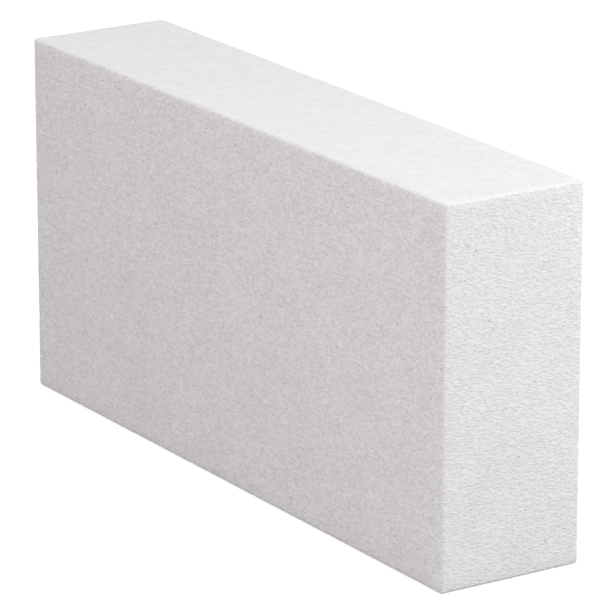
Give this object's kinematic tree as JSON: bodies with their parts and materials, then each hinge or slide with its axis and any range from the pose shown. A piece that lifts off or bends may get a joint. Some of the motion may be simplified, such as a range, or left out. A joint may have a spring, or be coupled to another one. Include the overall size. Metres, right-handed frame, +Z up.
{
  "type": "aerated concrete block",
  "caption": "Solid rectangular block of white autoclaved aerated concrete for thin partition walls, standing on its long narrow bed.",
  "frame": {"origin": "centre of the long narrow bed that the block stands on", "axes": "+X along the length, +Y through the thickness, +Z up, from the lower bed to the upper bed"},
  "size_m": [0.6, 0.125, 0.3],
  "materials": {
    "aerated_concrete": "matt white aerated concrete, wire-cut, with fine open pores"
  },
  "bodies": {
    "root": {"block": "aerated_concrete"}
  },
  "joints": []
}
